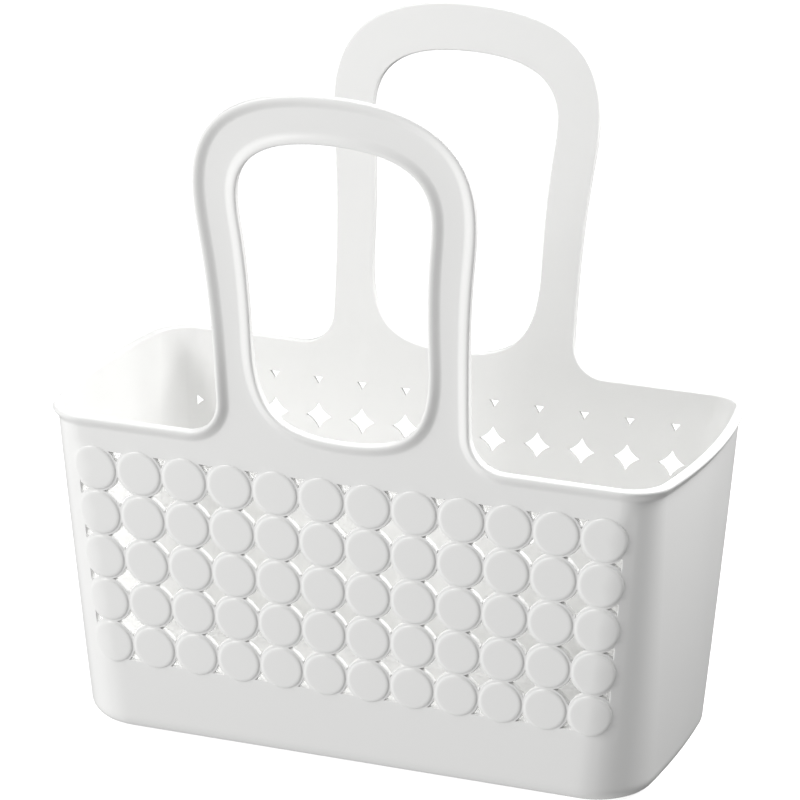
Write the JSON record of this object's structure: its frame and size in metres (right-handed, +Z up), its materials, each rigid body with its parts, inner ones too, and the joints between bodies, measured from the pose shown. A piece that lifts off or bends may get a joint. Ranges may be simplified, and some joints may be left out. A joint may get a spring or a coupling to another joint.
{
  "type": "shower caddy",
  "caption": "Open one-piece plastic shower tote with flared walls, disc-patterned openwork long sides, a raised rim lip and two flexible loop handles.",
  "frame": {"origin": "centre of the underside, on the surface it stands on", "axes": "+X along the tub's length, +Y to the rear with the front disc panel facing -Y, +Z up"},
  "size_m": [0.2908, 0.1778, 0.3068],
  "materials": {
    "white_plastic": "semi-gloss moulded polypropylene, white"
  },
  "bodies": {
    "tub": {"floor": "white_plastic", "base_edge": "white_plastic", "front_panel": "white_plastic", "rear_panel": "white_plastic", "left_end_wall": "white_plastic", "right_end_wall": "white_plastic", "left_rim_lip": "white_plastic", "right_rim_lip": "white_plastic", "front_handle_root": "white_plastic", "rear_handle_root": "white_plastic"},
    "front_handle": {"front_left_leg": "white_plastic", "front_right_leg": "white_plastic", "front_grip": "white_plastic"},
    "rear_handle": {"rear_left_leg": "white_plastic", "rear_right_leg": "white_plastic", "rear_grip": "white_plastic"}
  },
  "joints": [
    {"name": "front_handle_flex", "type": "hinge", "parent": "tub", "child": "front_handle", "pos_m": [0, -0.06568, 0.15938], "axis": [-1, 0, 0], "range_deg": [-8, 32], "stiffness_Nm_per_rad": 2.5},
    {"name": "rear_handle_flex", "type": "hinge", "parent": "tub", "child": "rear_handle", "pos_m": [0, 0.06568, 0.15938], "axis": [1, 0, 0], "range_deg": [-8, 32], "stiffness_Nm_per_rad": 2.5}
  ]
}
